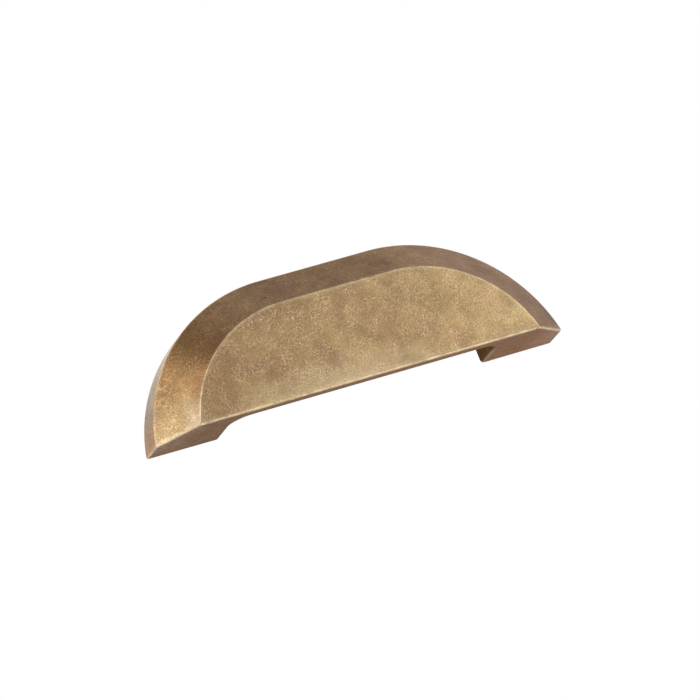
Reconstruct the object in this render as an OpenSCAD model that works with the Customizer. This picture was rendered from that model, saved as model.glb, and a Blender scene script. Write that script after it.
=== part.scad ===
/* [Body] */
// Height from the base to the straight top
height = 35.7; // [30:0.1:44]
// Radius of the two large round shoulders
shoulder_radius = 44.7; // [38:0.1:58]
// Depth of the straight rim behind the bevel
rim_depth = 9.5; // [6:0.1:13]
// Width and rise of the 45 degree bevel
bevel = 9.8; // [7:0.1:12]
// Softening radius of the outer edges
edge_radius = 0.6; // [0.3:0.1:1.2]
// Radius of the sill, the lower edge of the front that the fingers pull on
sill_radius = 0.9; // [0.5:0.1:1.5]

/* [Finger recess] */
// Thickness of the front wall
front_wall = 4.7; // [3:0.1:6]
// Thickness from the roof of the recess to the straight top
roof_wall = 8.7; // [7:0.1:12]
// Radius where the sides of the recess turn into its roof
recess_corner = 16; // [8:0.5:18]
// Radius of the fillet round the floor of the recess
floor_fillet = 5; // [2:0.5:7]
// Rounding of the mouth, where fingers go in under the base
mouth_radius = 1; // [0.4:0.1:1.6]
// Rounding of the recess edge at the back, where the casting is dressed
dressed_edge = 0.3; // [0.1:0.1:0.5]

/* [Feet and screws] */
// Distance between the two fixing screws
screw_spacing = 96; // [64:32:160]
// Height of the screws above the base
screw_height = 12; // [9:0.5:15]
// From each screw to the end of the base
foot_out = 12; // [9:0.1:16]
// From each screw to the side of the recess
foot_in = 9.2; // [6:0.1:12]
// Tapping diameter for the screw thread
tap_diameter = 3.3; // [2.5:0.1:4.2]
// Depth of the full bore
tap_depth = 10; // [6:0.5:12]
// Width of the lead-in chamfer at each hole
lead_in = 0.5; // [0.2:0.1:0.8]

/* [Hidden] */
$fn = 96;
over = 1.5;
depth = rim_depth + bevel;
base_length = screw_spacing + 2 * foot_out;
shoulder_y = height - shoulder_radius;
shoulder_x = base_length / 2 - sqrt(pow(shoulder_radius, 2) - pow(min(shoulder_y, 0), 2));
recess_depth = depth - front_wall;
recess_side = screw_spacing / 2 - foot_in;
recess_x = recess_side - recess_corner;
recess_y = height - roof_wall - recess_corner;
edge_set = edge_radius * tan(22.5);

// A block with a straight top, two round shoulders and straight legs below them.
// Its child is the half section, drawn outward from the shoulder axis between two depths.
module half_round(axis_x, axis_y, back, front) {
    for (side = [0, 1])
        mirror([side, 0, 0])
            translate([axis_x, axis_y, 0])
                rotate_extrude(angle = 90)
                    children();
    translate([-axis_x, axis_y, 0])
        rotate([90, 0, 90])
            linear_extrude(2 * axis_x)
                children();
    if (axis_y > 0)
        translate([0, axis_y, 0])
            rotate([90, 0, 0])
                linear_extrude(axis_y + over)
                    union() {
                        translate([-axis_x, back])
                            square([2 * axis_x, front - back]);
                        for (side = [0, 1])
                            mirror([side, 0])
                                translate([axis_x, 0])
                                    children();
                    }
}

// Half section of the body: back, rim, bevel and front, with its three edges softened.
module body_profile() {
    slope = edge_set * sqrt(0.5);
    front_reach = shoulder_radius - bevel;
    union() {
        polygon([
            [0, 0],
            [shoulder_radius - edge_radius, 0],
            [shoulder_radius, edge_radius],
            [shoulder_radius, rim_depth - edge_set],
            [shoulder_radius - slope, rim_depth + slope],
            [front_reach + slope, depth - slope],
            [front_reach - edge_set, depth],
            [0, depth]
        ]);
        translate([shoulder_radius - edge_radius, edge_radius])
            circle(edge_radius);
        translate([shoulder_radius - edge_radius, rim_depth - edge_set])
            circle(edge_radius);
        translate([front_reach - edge_set, depth - edge_radius])
            circle(edge_radius);
    }
}

// Half section of the recess, with its dressed back edge and the fillet round its floor.
module recess_profile() {
    union() {
        polygon([
            [0, -over],
            [recess_corner, -over],
            [recess_corner, recess_depth - floor_fillet],
            [recess_corner - floor_fillet, recess_depth],
            [0, recess_depth]
        ]);
        translate([recess_corner - floor_fillet, recess_depth - floor_fillet])
            circle(floor_fillet);
        translate([recess_corner, 0])
            round_off(dressed_edge);
    }
}

// What is cut from a corner at the origin to round it, where the second face leans back by an angle.
module round_off(radius, lean = 0) {
    reach = radius + over;
    difference() {
        polygon([
            [radius, radius],
            [radius - reach * cos(lean), radius + reach * sin(lean)],
            [-over, -over],
            [radius, -over]
        ]);
        translate([radius, radius])
            circle(radius);
    }
}

// Softens the base edges: the back and the sill, then the rim and the bevel at each end.
module base_edges() {
    rise = max(edge_radius - shoulder_y, 0);
    rim_reach = shoulder_radius - edge_radius;
    front_reach = shoulder_radius - bevel - edge_set;
    rim_x = shoulder_x + sqrt(pow(rim_reach, 2) - pow(rise, 2));
    front_x = shoulder_x + sqrt(pow(front_reach, 2) - pow(rise, 2));
    run = bevel + edge_set - edge_radius;
    swing = atan2(rim_x - front_x, run);
    bevel_lean = asin(sqrt(2) * rise / (rim_reach + front_reach));
    slack = 0.05 * edge_radius;
    for (face = [0, 1])
        translate([-base_length / 2, 0, face * depth])
            mirror([0, 0, face])
                rotate([90, 0, 90])
                    linear_extrude(base_length)
                        round_off(face == 0 ? edge_radius : sill_radius);
    for (side = [0, 1])
        mirror([side, 0, 0]) {
            translate([-rim_x - edge_radius, 0, -over])
                linear_extrude(rim_depth + over)
                    round_off(edge_radius, asin(rise / rim_reach));
            translate([-rim_x - slack, 0, rim_depth - edge_set])
                rotate([0, swing, 0])
                    translate([-edge_radius, 0, -over])
                        linear_extrude(run / cos(swing) + 2 * over)
                            round_off(edge_radius, bevel_lean);
        }
}

module body() {
    difference() {
        half_round(shoulder_x, shoulder_y, 0, depth)
            body_profile();
        translate([-base_length, -2 * shoulder_radius, -over])
            cube([2 * base_length, 2 * shoulder_radius, depth + 2 * over]);
        base_edges();
    }
}

// The finger space: open below and behind, with its base edge rounded along both feet and the front wall.
module recess() {
    turn_x = recess_side - floor_fillet;
    turn_z = recess_depth - floor_fillet;
    half_round(recess_x, recess_y, -over, recess_depth)
        recess_profile();
    for (side = [0, 1])
        mirror([side, 0, 0]) {
            translate([recess_side, 0, -over])
                linear_extrude(turn_z + over)
                    round_off(mouth_radius);
            translate([turn_x, 0, turn_z])
                rotate([-90, 0, 0])
                    rotate([0, 0, -90])
                        rotate_extrude(angle = 90)
                            translate([floor_fillet, 0])
                                round_off(mouth_radius);
        }
    translate([-turn_x, 0, recess_depth])
        rotate([90, 0, 90])
            linear_extrude(2 * turn_x)
                round_off(mouth_radius);
}

// A blind tapping hole from the back, with a lead-in and a drill point.
module screw_hole() {
    radius = tap_diameter / 2;
    translate([0, 0, -over])
        cylinder(h = tap_depth + over, r = radius);
    translate([0, 0, -over])
        cylinder(h = lead_in + over, r1 = radius + lead_in + over, r2 = radius);
    translate([0, 0, tap_depth])
        cylinder(h = radius * tan(31), r1 = radius, r2 = 0);
}

module cup_pull() {
    color("#8a6a34")
        rotate([90, 0, 0])
            translate([0, -screw_height, 0])
                difference() {
                    body();
                    recess();
                    for (side = [-1, 1])
                        translate([side * screw_spacing / 2, screw_height, 0])
                            screw_hole();
                }
}

cup_pull();
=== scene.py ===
import math

import bmesh
import bpy
import numpy as np
from mathutils import Matrix, Vector


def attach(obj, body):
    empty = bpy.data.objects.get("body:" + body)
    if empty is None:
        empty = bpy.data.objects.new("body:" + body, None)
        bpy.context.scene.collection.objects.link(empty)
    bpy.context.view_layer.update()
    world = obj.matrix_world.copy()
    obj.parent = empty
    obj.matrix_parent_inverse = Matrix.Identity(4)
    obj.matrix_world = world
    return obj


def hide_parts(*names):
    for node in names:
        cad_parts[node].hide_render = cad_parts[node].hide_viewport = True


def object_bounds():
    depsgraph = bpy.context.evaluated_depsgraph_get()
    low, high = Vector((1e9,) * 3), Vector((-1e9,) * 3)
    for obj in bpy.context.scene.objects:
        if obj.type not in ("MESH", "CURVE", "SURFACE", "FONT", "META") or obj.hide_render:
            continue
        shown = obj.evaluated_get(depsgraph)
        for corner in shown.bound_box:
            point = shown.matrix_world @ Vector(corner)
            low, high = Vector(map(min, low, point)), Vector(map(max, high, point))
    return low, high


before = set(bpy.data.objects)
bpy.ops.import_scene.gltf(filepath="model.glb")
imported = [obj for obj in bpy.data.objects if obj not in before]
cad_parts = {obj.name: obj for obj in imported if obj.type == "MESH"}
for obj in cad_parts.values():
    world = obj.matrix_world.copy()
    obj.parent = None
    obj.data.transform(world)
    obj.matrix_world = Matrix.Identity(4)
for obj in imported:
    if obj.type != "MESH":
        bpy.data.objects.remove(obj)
cad_low, cad_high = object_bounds()


# Outer skin of the pull.
# One brass casting: a flat half-round front, a 45 degree bevel and a straight rim behind it. Its edges are
# linished and then softened by tumbling, so each has a small even radius. Sizes are in millimetres, with x
# along the pull, y up from the base and z out from the back.

LENGTH = 120.0
HEIGHT = 35.7
DEPTH = 19.3
RIM = 9.5
BEVEL = 9.8
SHOULDER = 44.7
EDGE = 0.6
SILL = 0.9
EDGE_SET = EDGE * math.tan(math.pi / 8)
AXIS_Y = HEIGHT - SHOULDER
AXIS_X = LENGTH / 2 - math.sqrt(SHOULDER**2 - AXIS_Y**2)
EDGE_STEPS, BEND_STEPS, RIM_STEPS, BEVEL_STEPS = 6, 4, 10, 17
ARC_STEPS, TOP_STEPS = 80, 20
DOWN = np.array([0.0, -1.0, 0.0])


def arc(start, stop, steps):
    """Angles in radians from start to stop degrees, in equal steps."""
    return np.radians(np.linspace(start, stop, steps + 1))


def eased(steps):
    """Numbers from 0 to 1 that crowd towards both ends: 65 parts of half of one minus the cosine, mixed
    with 35 parts of an even spacing."""
    even = np.linspace(0, 1, steps + 1)
    return 0.65 * (0.5 - 0.5 * np.cos(np.pi * even)) + 0.35 * even


def stack(*parts):
    """Arrays, broadcast to one shape, side by side along a new last axis. Three of them make points."""
    return np.stack(np.broadcast_arrays(*parts), -1)


def line(start, stop, shares):
    """Points on a straight line: the start, plus each share of the way to the stop."""
    start, stop = np.asarray(start, float), np.asarray(stop, float)
    return start + np.asarray(shares)[:, None] * (stop - start)


def skin_profile():
    """Half section of the skin, back to front, as rows of the reach from the shoulder axis, the depth and
    the angle of the normal. Each edge is a circle, centre + EDGE * (cos, sin), and the rim and the bevel
    are straight lines between the edges."""
    centres = [
        (SHOULDER - EDGE, EDGE, arc(-90, 0, EDGE_STEPS)),
        (SHOULDER - EDGE, RIM - EDGE_SET, arc(0, 45, BEND_STEPS)),
        (SHOULDER - BEVEL - EDGE_SET, DEPTH - EDGE, arc(45, 90, BEND_STEPS)),
    ]
    back_edge, rim_edge, brow_edge = (
        stack(reach + EDGE * np.cos(angle), depth + EDGE * np.sin(angle), angle)
        for reach, depth, angle in centres
    )
    rim = line(back_edge[-1], rim_edge[0], eased(RIM_STEPS)[1:-1])
    bevel = line(rim_edge[-1], brow_edge[0], eased(BEVEL_STEPS)[1:-1])
    return np.vstack([back_edge, rim, rim_edge, bevel, brow_edge])


def skin_surface(profile):
    """Right half of the skin, with one row for each row of the profile. Along it a ball rolls up from the
    base, then comes the arc, axis + reach * (cos, sin) up to a quarter turn, and then the straight top.
    The ball has the radius EDGE, and grows to SILL as the profile turns on to the front."""
    reach, depth, lean = profile.T[:, :, None]
    size = EDGE + (SILL - EDGE) * np.clip(4 * lean / np.pi - 1, 0, 1)
    centre_reach = reach - size * np.cos(lean)
    centre_depth = depth - size * np.sin(lean)
    start = np.arcsin(np.clip((size - AXIS_Y) / centre_reach, -1, 1))
    turn = start + (np.pi / 2 - start) * np.linspace(0, 1, ARC_STEPS + 1)
    side = stack(AXIS_X + reach * np.cos(turn), AXIS_Y + reach * np.sin(turn), depth)
    top = stack(AXIS_X * np.linspace(1, 0, TOP_STEPS + 1)[1:], AXIS_Y + reach, depth)
    ball = stack(AXIS_X + centre_reach * np.cos(start), size, centre_depth)
    normal = stack(np.cos(lean) * np.cos(start), np.cos(lean) * np.sin(start), np.sin(lean))
    rise = normal[..., 1:2]
    away = (DOWN + rise * normal) / np.sqrt(1 - rise**2)
    roll = (np.arccos(-rise[..., 0]) * np.linspace(1, 0, EDGE_STEPS + 1)[:-1])[..., None]
    base = ball + size[..., None] * (normal * np.cos(roll) + away * np.sin(roll))
    return np.concatenate([base, side, top], 1)


def filled(low, high, left, right):
    """Surface that fills four joined curves: the blend of low to high, plus the blend of left to right,
    less the bilinear blend of the four corners. The first index runs along left, the second along low."""
    s = np.linspace(0, 1, len(low))[None, :, None]
    t = np.linspace(0, 1, len(left))[:, None, None]
    corners = (1 - s) * ((1 - t) * low[0] + t * high[0]) + s * ((1 - t) * low[-1] + t * high[-1])
    return (1 - t) * low + t * high + (1 - s) * left[:, None] + s * right[:, None] - corners


# The flat front fills the space between its low edge, the brow above it, the first steps of the brow at
# its end and the middle line of the pull. The sill rolls from the front under to the base.
BROW_SIDE = 44
skin = skin_surface(skin_profile())
brow = skin[-1, EDGE_STEPS:]
front_foot = (0, SILL, DEPTH)
front_low = line(brow[0], front_foot, np.linspace(0, 1, len(brow) - BROW_SIDE))
front_middle = line(front_foot, brow[-1], eased(BROW_SIDE))
front = filled(front_low, brow[BROW_SIDE:], brow[: BROW_SIDE + 1], front_middle)
sill_roll = arc(90, 0, EDGE_STEPS)[:, None]
sill = stack(front_low[:, 0], SILL - SILL * np.sin(sill_roll), DEPTH - SILL + SILL * np.cos(sill_roll))


# Finger recess.
# The hollow behind the front wall, cored in the casting: straight sides along the feet, a roof with round
# corners, and a fillet round its floor. Its mouth under the base is rounded for the fingers, and its back
# edge only dressed.

FRONT_WALL = 4.7
ROOF_WALL = 8.7
RECESS_SIDE = 38.8
RECESS_CORNER = 16.0
FLOOR_FILLET = 5.0
MOUTH = 1.0
DRESSED = 0.3
RECESS_DEPTH = DEPTH - FRONT_WALL
RECESS_X = RECESS_SIDE - RECESS_CORNER
RECESS_Y = HEIGHT - ROOF_WALL - RECESS_CORNER
WALL_STEPS, FILLET_STEPS = 28, 16
MOUTH_STEPS, SIDE_STEPS, CORNER_STEPS = 6, 18, 46
ROOF_STEPS = ARC_STEPS + TOP_STEPS - MOUTH_STEPS - SIDE_STEPS - CORNER_STEPS


def recess_surface():
    """Right half of the recess walls, one row for each depth, back to front. A row is the outline at that
    depth: the round of the mouth, the straight side, the corner, axis + reach * (cos, sin), and the roof.
    The rows run round the dressed back edge, along the wall and round the fillet of the floor, and each
    has its reach, depth, lean, mouth radius, and the place of the mouth's centre."""
    dress = arc(90, 0, EDGE_STEPS)
    flare = DRESSED * (1 - np.cos(dress))
    flare_depth = DRESSED * (1 - np.sin(dress))
    wall_depth = line((DRESSED,), (RECESS_DEPTH - FLOOR_FILLET,), eased(WALL_STEPS))[1:, 0]
    bend = arc(0, 90, FILLET_STEPS)[1:]
    bend_reach = RECESS_CORNER - FLOOR_FILLET * (1 - np.cos(bend))
    bend_depth = RECESS_DEPTH - FLOOR_FILLET * (1 - np.sin(bend))
    bend_x = RECESS_SIDE - FLOOR_FILLET + (FLOOR_FILLET + MOUTH) * np.cos(bend)
    bend_z = RECESS_DEPTH - FLOOR_FILLET + (FLOOR_FILLET + MOUTH) * np.sin(bend)
    mouth_x = RECESS_SIDE + MOUTH
    rows = [
        stack(RECESS_CORNER + flare, flare_depth, 0.0, MOUTH - flare, mouth_x, flare_depth),
        stack(RECESS_CORNER, wall_depth, 0.0, MOUTH, mouth_x, wall_depth),
        stack(bend_reach, bend_depth, bend, MOUTH, bend_x, bend_z),
    ]
    reach, depth, lean, radius, centre_x, centre_z = np.vstack(rows).T[:, :, None]
    roll = arc(90, 0, MOUTH_STEPS)[:-1]
    out = radius * np.cos(roll)
    mouth_y = MOUTH - radius * np.sin(roll)
    mouth = stack(centre_x - out * np.cos(lean), mouth_y, centre_z - out * np.sin(lean))
    side = stack(RECESS_X + reach, np.linspace(MOUTH, RECESS_Y, SIDE_STEPS + 1)[:-1], depth)
    turn = arc(0, 90, CORNER_STEPS)
    corner = stack(RECESS_X + reach * np.cos(turn), RECESS_Y + reach * np.sin(turn), depth)
    roof = stack(RECESS_X * np.linspace(1, 0, ROOF_STEPS + 1)[1:], RECESS_Y + reach, depth)
    return np.concatenate([mouth, side, corner, roof], 1)


# The floor fills the space inside the fillet as the front does inside the brow, and the mouth rolls from
# it on to the base of the front wall.
FLOOR_SIDE = SIDE_STEPS + CORNER_STEPS // 2
recess = recess_surface()
lip = recess[-1, MOUTH_STEPS:]
floor_foot = (0, MOUTH, RECESS_DEPTH)
floor_low = line(lip[0], floor_foot, np.linspace(0, 1, len(lip) - FLOOR_SIDE))
floor_middle = line(floor_foot, lip[-1], eased(FLOOR_SIDE))
recess_floor = filled(floor_low, lip[FLOOR_SIDE:], lip[: FLOOR_SIDE + 1], floor_middle)
mouth_roll = arc(90, 0, MOUTH_STEPS)[:, None]
mouth_depth = RECESS_DEPTH + MOUTH - MOUTH * np.cos(mouth_roll)
mouth_front = stack(floor_low[:, 0], MOUTH - MOUTH * np.sin(mouth_roll), mouth_depth)


# Base and back.
# The two flat faces of the casting, ground true: the base under the feet and the front wall, and the back
# that meets the drawer. Each is ruled between the outer edge and the edge of the recess, and leaves room
# for the screw holes.

SCREW_X = 48.0
SCREW_Y = 12.0
TAP = 1.65
LEAD_IN = 0.5
RULE_STEPS, RING_STEPS, FOOT_TOP = 16, 10, 36


def ruled(outer, inner):
    """Straight lines from each point of the outer edge to its fellow on the inner one, in eased steps."""
    return outer[:, None] + eased(RULE_STEPS)[:, None] * (inner - outer)[:, None]


base_outer = np.vstack([skin[:, 0], sill[0, 1:]])
base_inner = np.vstack([recess[EDGE_STEPS:, 0], mouth_front[0, 1:]])
base = ruled(base_outer, base_inner)
heel = ruled(skin[0, : EDGE_STEPS + 1], recess[EDGE_STEPS::-1, 0])
back_outer, back_inner = skin[0, EDGE_STEPS:], recess[0]
back = ruled(back_outer, back_inner)

# Round each hole the back is a set of rings that spread from the lead-in to the outline of the foot.
foot_outer, foot_inner = back_outer[: FOOT_TOP + 1], back_inner[FOOT_TOP::-1]
foot_rim = np.vstack([foot_outer, back[FOOT_TOP, 1:-1], foot_inner, back[0, -2:0:-1]])
spoke = np.arctan2(foot_rim[:, 1] - SCREW_Y, foot_rim[:, 0] - SCREW_X)
hole_rim = stack(SCREW_X + (TAP + LEAD_IN) * np.cos(spoke), SCREW_Y + (TAP + LEAD_IN) * np.sin(spoke), 0.0)
foot_back = hole_rim + eased(RING_STEPS)[:, None, None] * (foot_rim - hole_rim)


# Tapped holes.
# A blind hole in each foot for an M4 screw of 0.7 mm pitch: a lead-in chamfer, the thread and the drill
# point. Both threads are right-handed, so the left hole isn't a mirror image of the right one.

TAP_DEPTH = 10.0
PITCH = 0.7
THREAD = 0.35
RUN_OUT = 1.5
DRILL_POINT = math.radians(31)


def tapped_hole(x, angles):
    """Wall of one hole as a turned surface, radius by depth and angle: the lead-in, the thread and the
    drill point. The thread adds a triangle wave of depth / pitch - angle / turn to the tapping radius, cut
    flat at its crests and roots. It grows from nothing over its first turn, and dies away before the
    bottom of the bore."""
    depth = np.arange(LEAD_IN, TAP_DEPTH, PITCH / 4)[:, None]
    phase = (depth / PITCH - angles / (2 * np.pi)) % 1.0
    fade = np.clip((depth - LEAD_IN) / PITCH, 0, 1) * np.clip((TAP_DEPTH - RUN_OUT - depth) / PITCH, 0, 1)
    ridge = np.clip(1.3 - 3.9 * np.abs(phase - 0.5), 0, 1)
    around = np.ones((1, len(angles)))
    radius = np.vstack([(TAP + LEAD_IN) * around, TAP + THREAD * fade * ridge, TAP * around, 0 * around])
    depth = np.vstack([[[0.0]], depth, [[TAP_DEPTH]], [[TAP_DEPTH + TAP * math.tan(DRILL_POINT)]]])
    return stack(x + radius * np.cos(angles), SCREW_Y + radius * np.sin(angles), depth)


# Joining the casting.
# The faces are brought together, welded along their shared edges and set in the frame of the part. Each
# point also keeps its distance from the nearest edge, because there the finish is rubbed through and a
# highlight is painted on the round.

MIRRORED = np.array([-1.0, 1.0, 1.0])
WELD_DIGITS = 3
EDGE_REACH = 6.0
SILL_NEARER = 0.7
MOUTH_FURTHER = 0.5


def quads(rows, columns, start, closed):
    """Corner numbers of the faces of a grid of points, numbered row by row from start. A closed grid joins
    its last column to its first."""
    across = columns if closed else columns - 1
    row, column = np.meshgrid(np.arange(rows - 1), np.arange(across), indexing="ij")
    beside = (column + 1) % columns
    here, above = row * columns, (row + 1) * columns
    return start + stack(here + column, here + beside, above + beside, above + column).reshape(-1, 4)


def nearest(points, marks):
    """Distance from each point to the closest mark, worked out in blocks of about 1500 points."""
    blocks = np.array_split(points, max(1, len(points) // 1500))
    squares = [((block[:, None] - marks[None]) ** 2).sum(-1).min(1) for block in blocks]
    return np.sqrt(np.concatenate(squares))


# Each grid comes with whether it is closed, and whether it is a cored face, which keeps its whole patina.
sheets = [(grid, False, False) for grid in (skin, front, sill, base, heel, back[FOOT_TOP:])]
sheets += [(grid, False, True) for grid in (mouth_front, recess, recess_floor)]
sheets += [(foot_back, True, False)]
sheets += [(grid * MIRRORED, closed, cored) for grid, closed, cored in sheets]
sheets += [(tapped_hole(SCREW_X, spoke), True, False), (tapped_hole(-SCREW_X, np.pi - spoke), True, False)]

points = np.vstack([grid.reshape(-1, 3) for grid, _, _ in sheets])
starts = np.cumsum([0] + [grid.shape[0] * grid.shape[1] for grid, _, _ in sheets])
faces = [quads(*grid.shape[:2], start, closed) for (grid, closed, _), start in zip(sheets, starts)]
in_recess = np.repeat([cored for _, _, cored in sheets], np.diff(starts))
_, kept, number = np.unique(np.round(points, WELD_DIGITS), axis=0, return_index=True, return_inverse=True)
points, in_recess = points[kept], in_recess[kept]
faces = number.reshape(-1)[np.vstack(faces)]

# A face with two corners in one place becomes a triangle, and one that has shrunk to a line is left out.
before = np.roll(faces, 1, 1)
whole = faces[(faces != before).all(1) & (faces[:, 0] != faces[:, 2]) & (faces[:, 1] != faces[:, 3])]
short = faces[(faces == before).sum(1) == 1]
short = short[short != np.roll(short, 1, 1)].reshape(-1, 3)

# The frame of the part is in metres, with its origin midway between the screw holes and its front along -y.
placed = stack(points[:, 0], -points[:, 2], points[:, 1] - SCREW_Y) / 1000
casting = bpy.data.meshes.new("cup_pull_casting")
casting.from_pydata(placed, [], whole.tolist() + short.tolist())

# The distance to the sill counts as less, so that its wear and painted highlight are wider, and the one to
# the mouth of the recess as more, so that its wear and painted highlight are fainter.
back_row = EDGE_STEPS // 2
rim_row = EDGE_STEPS + RIM_STEPS + BEND_STEPS // 2
brow_row = -1 - BEND_STEPS // 2
# Lines where the finish is rubbed through and a painted highlight runs along the round: the edges of the
# skin, the sill and the mouth of the recess.
wear_and_highlight_lines = [
    (np.vstack([skin[back_row], skin[rim_row], skin[brow_row], skin[:, EDGE_STEPS // 2]]), 1.0, 0.0),
    (sill[EDGE_STEPS // 2], SILL_NEARER, 0.0),
    (np.vstack([recess[EDGE_STEPS:, 1], mouth_front[1]]), 1.0, MOUTH_FURTHER),
]
gaps = [
    share * nearest(points, np.vstack([marks, marks * MIRRORED])) + more
    for marks, share, more in wear_and_highlight_lines
]
edge_mm = casting.attributes.new("edge_mm", "FLOAT", "POINT")
edge_mm.data.foreach_set("value", np.minimum(np.min(gaps, 0), EDGE_REACH).astype(np.float32))

# The oxide of the recess sets in on the round of its mouth, from a tenth to about a third of the way up.
oxidised = in_recess * np.clip(4 * points[:, 1] / MOUTH - 0.4, 0, 1)
inside = casting.attributes.new("inside", "FLOAT", "POINT")
inside.data.foreach_set("value", oxidised.astype(np.float32))

work = bmesh.new()
work.from_mesh(casting)
bmesh.ops.recalc_face_normals(work, faces=work.faces)
work.to_mesh(casting)
work.free()
casting.shade_smooth()
pull = bpy.data.objects.new("cup_pull_casting", casting)
bpy.context.scene.collection.objects.link(pull)
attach(pull, "root")
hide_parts("cup_pull")


# Antique brass.
# Cast brass, darkened in an oxidising bath, then relieved by hand with a fine abrasive. The eye sees warm
# metal with soft blotches, a fine speckle from the abrasive, and clean bright brass along the edges.
# Painted highlights lie on the rounded edges and on a few places of the bevel and the front.


def linear(hex_colour):
    """An sRGB hex colour as linear red, green, blue and full alpha."""
    s = np.array([int(hex_colour[i : i + 2], 16) / 255 for i in (1, 3, 5)])
    return (*np.where(s <= 0.04045, s / 12.92, ((s + 0.055) / 1.055) ** 2.4), 1.0)


def per_metre(millimetres):
    """Texture scale at which one cell of a pattern is that many millimetres wide."""
    return 1000 / millimetres


def node(tree, kind, sockets=None, **settings):
    """Adds a shader node of that kind and sets its properties. Each socket, by its name or number, gets a
    value, a link from an output, or a link from the first output that another node has in use."""
    made = tree.nodes.new("ShaderNode" + kind)
    for name, value in settings.items():
        setattr(made, name, value)
    for name, value in (sockets or {}).items():
        if isinstance(value, bpy.types.Node):
            value = next(output for output in value.outputs if output.enabled)
        if isinstance(value, bpy.types.NodeSocket):
            tree.links.new(value, made.inputs[name])
        else:
            made.inputs[name].default_value = value
    return made


# In a colour mix, socket 0 is the share, and 6 and 7 are the two colours. A map range takes its value at
# 0, and turns the stretch between its sockets 1 and 2 into the one between 3 and 4.
brass = bpy.data.materials.new("antique_brass")
brass.use_nodes = True
tree = brass.node_tree
tree.nodes.clear()
place = node(tree, "TexCoord").outputs["Object"]
edge = node(tree, "Attribute", attribute_name="edge_mm").outputs["Fac"]
hidden = node(tree, "Attribute", attribute_name="inside").outputs["Fac"]

# Blotches from 9 mm down to a fraction of a millimetre where the bath took deeper, and a drift of 8 mm
# between a greener and a redder tone.
blotch = node(tree, "TexNoise", {"Vector": place, "Scale": per_metre(9), "Detail": 7.0, "Roughness": 0.74})
deep = node(tree, "MapRange", {0: blotch, 1: 0.37, 2: 0.65})
tone = node(tree, "Mix", {0: deep, 6: linear("#a18560"), 7: linear("#6a503c")}, data_type="RGBA")
drift = node(tree, "TexNoise", {"Vector": place, "Scale": per_metre(8), "Detail": 2.0})
warm = node(tree, "Mix", {0: drift, 6: linear("#948a5a"), 7: linear("#a07a64")}, data_type="RGBA")
ground = node(tree, "Mix", {0: 0.42, 6: tone, 7: warm}, data_type="RGBA")

# Grain of the abrasive: pits that kept the patina, between points that are cut down to clean brass, in
# patches of 4 mm. Real grit marks are too fine to show, so the grain is drawn at about 0.55 mm.
grain = node(tree, "TexNoise", {"Vector": place, "Scale": per_metre(0.55), "Detail": 2.0, "Roughness": 0.7})
pit = node(tree, "MapRange", {0: grain, 1: 0.32, 2: 0.55, 3: 0.55, 4: 0.0})
tone = node(tree, "Mix", {0: pit, 6: ground, 7: linear("#6f563d")}, data_type="RGBA")
patch = node(tree, "TexNoise", {"Vector": place, "Scale": per_metre(4), "Detail": 4.0, "Roughness": 0.6})
patchy = node(tree, "MapRange", {0: patch, 1: 0.40, 2: 0.60, 3: 0.06, 4: 0.9})
point = node(tree, "TexVoronoi", {"Vector": place, "Scale": per_metre(0.6)})
dot = node(tree, "MapRange", {0: point, 1: 0.22, 2: 0.42, 3: 1.0, 4: 0.0})
cut = node(tree, "MapRange", {0: grain, 1: 0.45, 2: 0.65, 3: 0.1, 4: 0.62})
cut = node(tree, "Math", {0: cut, 1: dot}, operation="MULTIPLY")
cut = node(tree, "Math", {0: cut, 1: patchy}, operation="MULTIPLY")
tone = node(tree, "Mix", {0: cut, 6: tone, 7: linear("#d9c69a")}, data_type="RGBA")

# Hairline streaks of the abrasive, where a noise of 1.2 mm passes its middle value, broken up by the grain.
fibre = node(tree, "TexNoise", {"Vector": place, "Scale": per_metre(1.2), "Detail": 3.0, "Roughness": 0.65})
aside = node(tree, "Math", {0: fibre, 1: 0.5}, operation="SUBTRACT")
aside = node(tree, "Math", {0: aside}, operation="ABSOLUTE")
hair = node(tree, "MapRange", {0: aside, 1: 0.0, 2: 0.045, 3: 0.72, 4: 0.0})
broken = node(tree, "MapRange", {0: grain, 1: 0.42, 2: 0.56, 3: 0.3, 4: 1.0})
hair = node(tree, "Math", {0: hair, 1: broken}, operation="MULTIPLY")
hair = node(tree, "Math", {0: hair, 1: patchy}, operation="MULTIPLY")
tone = node(tree, "Mix", {0: hair, 6: tone, 7: linear("#cdb68c")}, data_type="RGBA")

# The right end was worked longer: its grain grows fainter from 20 mm left of the middle to 40 mm right.
spot = node(tree, "SeparateXYZ", {0: place}).outputs
even = node(tree, "MapRange", {0: spot["X"], 1: -0.02, 2: 0.04, 3: 0.0, 4: 0.28})
tone = node(tree, "Mix", {0: even, 6: tone, 7: ground}, data_type="RGBA")

# Clean brass along the edges, rubbed through unevenly, and a painted highlight on their rounds: a bright
# line of 0.22 mm in a haze of 0.9 mm.
edge_noise = node(tree, "TexNoise", {"Vector": place, "Scale": per_metre(2.5), "Detail": 2.0})
uneven = node(tree, "Math", {0: edge_noise, 1: 0.6, 2: -0.3}, operation="MULTIPLY_ADD")
near = node(tree, "Math", {0: edge, 1: uneven}, operation="ADD")
bright = node(tree, "MapRange", {0: near, 1: 0.0, 2: 0.22, 3: 0.38, 4: 0.0})
haze = node(tree, "MapRange", {0: near, 1: 0.1, 2: 0.9, 3: 0.14, 4: 0.0}, interpolation_type="SMOOTHSTEP")
wear_and_highlight = node(tree, "Math", {0: bright, 1: haze}, operation="ADD")

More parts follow.
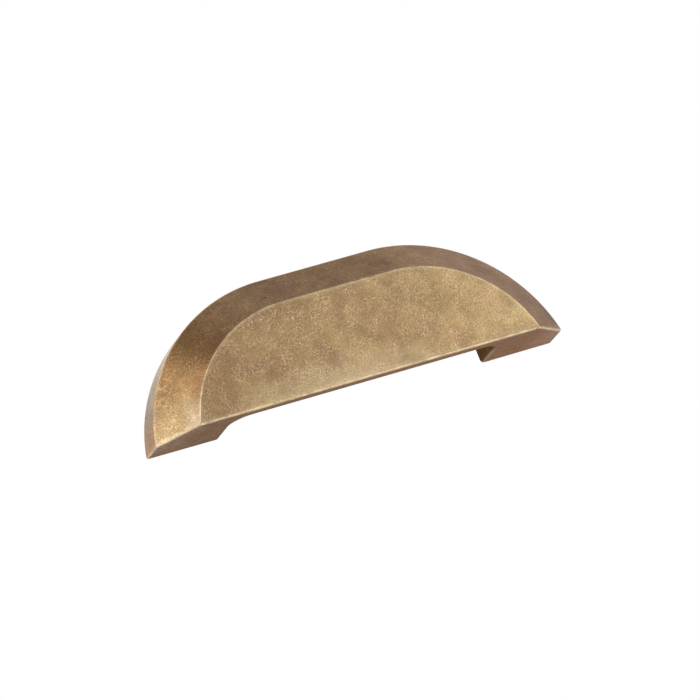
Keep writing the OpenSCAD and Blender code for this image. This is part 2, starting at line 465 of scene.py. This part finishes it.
# Wear of the hand on the front, in a half ellipse that stands on the sill, from 0.1 mm above the base.
GRIP_X, GRIP_WIDE, GRIP_HIGH = -9, 36, 9
grip_place = (-GRIP_X / GRIP_WIDE, 0, SCREW_Y / GRIP_HIGH)
grip_scale = (per_metre(GRIP_WIDE), 0, per_metre(GRIP_HIGH))
grip = node(tree, "Mapping", {"Vector": place, "Location": grip_place, "Scale": grip_scale})
grip = node(tree, "TexGradient", {0: grip}, gradient_type="SPHERICAL").outputs["Fac"]
hand_low, hand_full = (0.1 - SCREW_Y) / 1000, (0.7 - SCREW_Y) / 1000
hand = node(tree, "MapRange", {0: spot["Z"], 1: hand_low, 2: hand_full, 3: 0.0, 4: 0.24})
wear_and_highlight = node(tree, "Math", {0: hand, 1: grip, 2: wear_and_highlight}, operation="MULTIPLY_ADD")
tone = node(tree, "Mix", {0: wear_and_highlight, 6: tone, 7: linear("#ead8b2")}, data_type="RGBA")

# Marks, each an ellipsoid in millimetres that fades outwards: a brown stain at the left end of the front
# and a greener cast over its right half; then a painted pool of light low at its right end, painted
# highlights at two places on the left bevel, and painted highlights on the low edge of the bevel at both
# ends.
for centre, radii, colour, strength in (
    ((-44.0, -19.3, 2.0), (16, 4, 16), "#7b5241", 0.32),
    ((30.0, -19.3, 2.0), (34, 4, 24), "#8f8a5c", 0.07),
    # Painted light from here on: a pale pool of light low on the front, then highlights on the left bevel
    # and on the low edge of the bevel.
    ((46.0, -19.3, -6.0), (14, 4, 12), "#e3cf9f", 0.08),
    ((-50.5, -18.0, -8.0), (3.5, 4, 10), "#fff0dc", 0.16),
    ((-55.5, -13.0, -8.0), (9, 9, 8), "#f0d898", 0.06),
    ((57.0, -8.0, -12.0), (9, 12, 2), "#fff0dc", 0.22),
    ((-57.0, -8.0, -12.0), (9, 12, 2), "#fff0dc", 0.16),
):
    mark_place = [-c / r for c, r in zip(centre, radii)]
    mark_scale = [per_metre(r) for r in radii]
    mark = node(tree, "Mapping", {"Vector": place, "Location": mark_place, "Scale": mark_scale})
    mark = node(tree, "TexGradient", {0: mark}, gradient_type="SPHERICAL").outputs["Fac"]
    mark = node(tree, "Math", {0: mark, 1: strength}, operation="MULTIPLY")
    tone = node(tree, "Mix", {0: mark, 6: tone, 7: linear(colour)}, data_type="RGBA")

# The whole patina inside the recess: a mottled brown oxide, thick enough to hide the metal, and dull.
oxide = node(tree, "Mix", {0: deep, 6: linear("#664a2d"), 7: linear("#513a24")}, data_type="RGBA")
tone = node(tree, "Mix", {0: hidden, 6: tone, 7: oxide}, data_type="RGBA")
metal = node(tree, "MapRange", {0: hidden, 3: 1.0, 4: 0.05})
gleam = node(tree, "MapRange", {0: hidden, 3: 0.5, 4: 0.0})

# The patina is a little rougher than the brass, and the grain dents it by a few hundredths of a millimetre.
matt = node(tree, "MapRange", {0: blotch, 1: 0.35, 2: 0.65, 3: 0.27, 4: 0.37})
dent = node(tree, "Bump", {"Strength": 1.0, "Distance": 0.06 / 1000, "Height": grain})
shader = node(
    tree,
    "BsdfPrincipled",
    {
        "Base Color": tone,
        "Metallic": metal,
        "Specular IOR Level": gleam,
        "Roughness": matt,
        "Normal": dent,
    },
)
node(tree, "OutputMaterial", {"Surface": shader})
casting.materials.append(brass)


# Floor.
# A plain pale sheet under the pull, in metres like all of the studio. It only shows from above, because the
# photograph is taken from below the base, and it sends no light or reflection back to the pull.

scene = bpy.context.scene


def panel(name, centre, across, along):
    """A flat rectangle about its centre, spanned by the two vectors across and along."""
    centre, across, along = Vector(centre), Vector(across) / 2, Vector(along) / 2
    near_side, far_side = centre - along, centre + along
    corners = [near_side - across, near_side + across, far_side + across, far_side - across]
    mesh = bpy.data.meshes.new(name)
    mesh.from_pydata(corners, [], [(0, 1, 2, 3)])
    made = bpy.data.objects.new(name, mesh)
    scene.collection.objects.link(made)
    return made


floor = panel("floor", (0, 0, cad_low.z), (3, 0, 0), (0, 3, 0))
floor.visible_diffuse = floor.visible_glossy = floor.visible_transmission = floor.visible_shadow = False
paper = bpy.data.materials.new("pale_floor")
paper.use_nodes = True
tree = paper.node_tree
tree.nodes.clear()
below = node(tree, "NewGeometry").outputs["Backfacing"]
sheet = node(tree, "BsdfDiffuse", {"Color": linear("#ececec")})
clear = node(tree, "BsdfTransparent")
either = node(tree, "MixShader", {0: below, 1: sheet, 2: clear})
node(tree, "OutputMaterial", {"Surface": either})
floor.data.materials.append(paper)


# Cards.
# Flat boards that show only in reflections and light nothing else. Those above, to the right, below and
# behind give the bevel, the base and the rim their darker and brighter stretches.

ABOVE_DEEP = (0, 0.9, 0)
RIGHT_WIDE, RIGHT_TALL = (-0.45, 0.73, 0), (-0.175, -0.11, 0.40)
LOW_WIDE, LOW_TALL = (0.40, -0.175, 0), (0, 0, 0.42)

for name, centre, across, along, colour, strength in (
    ("card_above", (0.13, 0.03, 0.60), (0.14, 0, 0), ABOVE_DEEP, "#dacecb", 1.0),
    ("card_dim", (-0.03, 0.03, 0.60), (0.18, 0, 0), ABOVE_DEEP, "#cfc3c0", 1.0),
    ("card_grey", (0.25, 0.03, 0.60), (0.10, 0, 0), ABOVE_DEEP, "#b8aaa5", 1.0),
    ("card_brown", (-0.20, 0.03, 0.60), (0.17, 0, 0), ABOVE_DEEP, "#8b7056", 1.0),
    ("card_amber", (-0.425, 0.03, 0.60), (0.28, 0, 0), ABOVE_DEEP, "#ffedda", 2.0),
    ("card_right_high", (0.5525, 0.345, 0.70), RIGHT_WIDE, RIGHT_TALL, "#e6d5d2", 1.0),
    ("card_right_low", (0.7275, 0.455, 0.30), RIGHT_WIDE, RIGHT_TALL, "#d4c3c0", 1.0),
    ("card_low_left", (0.07, 0.7075, -0.09), LOW_WIDE, LOW_TALL, "#794b39", 1.0),
    ("card_low_right", (0.47, 0.5325, -0.09), LOW_WIDE, LOW_TALL, "#9b6853", 1.0),
    ("card_back", (0.14, 0.90, 0.48), (0.35, 0, 0), (0, 0, 0.35), "#fff6ee", 1.5),
    ("card_cool", (-0.13, 0.86, 0.42), (0.17, 0.04, 0), (0, 0, 0.5), "#b0c6d0", 1.0),
    ("card_end", (-0.47, 0.80, 0.33), (0.50, 0.15, 0), (0, 0, 0.60), "#ffdcc4", 1.25),
):
    card = panel(name, centre, across, along)
    card.visible_camera = card.visible_diffuse = card.visible_transmission = card.visible_shadow = False
    board = bpy.data.materials.new(name)
    board.use_nodes = True
    board.node_tree.nodes.clear()
    glow = node(board.node_tree, "Emission", {"Color": linear(colour), "Strength": strength})
    node(board.node_tree, "OutputMaterial", {"Surface": glow})
    card.data.materials.append(board)


# Lamps.
# Soft rectangular lamps that face the pull and don't show themselves. Each puts a gentle light along one
# of the rounded edges: the brow, the ends of the bevel, or the sill.

for name, centre, width, height, power in (
    ("lamp_left", (-0.85, -0.36, 0.40), 0.4, 0.4, 1.55),
    ("lamp_under", (-0.72, -0.30, -0.28), 0.6, 0.6, 1.7),
    ("lamp_brow", (-0.25, -0.70, 0.42), 0.35, 0.35, 0.8),
    ("lamp_side", (0.74, -0.26, 0.35), 0.4, 0.4, 0.35),
    ("lamp_right", (0.35, -0.50, 0.125), 0.3, 0.3, 0.14),
    ("lamp_end", (0.205, -0.27, 0.055), 0.1, 0.1, 0.045),
    ("lamp_low", (0.48, 0.0, -0.57), 1.1, 0.4, 1.5),
    ("lamp_sill", (0.27, -0.54, -0.25), 0.3, 0.3, 0.15),
):
    light = bpy.data.lights.new(name, "AREA")
    light.shape = "RECTANGLE"
    light.size, light.size_y = width, height
    light.energy = power
    lamp = bpy.data.objects.new(name, light)
    facing = (-Vector(centre)).to_track_quat("-Z", "Y").to_matrix().to_4x4()
    lamp.matrix_world = Matrix.Translation(centre) @ facing
    lamp.visible_camera = False
    scene.collection.objects.link(lamp)


# White surround.
# A plain white room on every side of the pull. The camera, the reflections and anything clear see it at
# full strength, and surfaces that scatter light get seven tenths of it.

world = bpy.data.worlds.new("studio")
scene.world = world
world.use_nodes = True
tree = world.node_tree
tree.nodes.clear()
rays = node(tree, "LightPath").outputs
seen = node(tree, "Math", {0: rays["Is Camera Ray"], 1: rays["Is Glossy Ray"]}, operation="MAXIMUM")
seen = node(tree, "Math", {0: seen, 1: rays["Is Transmission Ray"]}, operation="MAXIMUM")
white = node(tree, "Background", {"Color": linear("#ffffff"), "Strength": 1.0})
room = node(tree, "Background", {"Color": linear("#ffffff"), "Strength": 0.7})
both = node(tree, "MixShader", {0: seen, 1: room, 2: white})
node(tree, "OutputWorld", {"Surface": both})


# Camera.
# A long lens, 1.8 m away and 0.4 m below the base, with its place and turn fitted to the outline and the
# edges of the pull in the photograph.

camera_data = bpy.data.cameras.new("camera")
camera_data.sensor_width = 36
camera_data.lens = 351.27
camera_data.clip_end = 20
camera = bpy.data.objects.new("camera", camera_data)
scene.collection.objects.link(camera)
camera_place = Vector((-0.69376, -1.60428, -0.41881))
right = Vector((0.88601, -0.29154, -0.36055))
up = Vector((0.25333, -0.34690, 0.90304))
ahead = Vector((0.38835, 0.89144, 0.23350))
turned = Matrix((right, up, -ahead)).transposed().to_4x4()
camera.matrix_world = Matrix.Translation(camera_place) @ turned
scene.camera = camera
scene.view_settings.view_transform = "Standard"
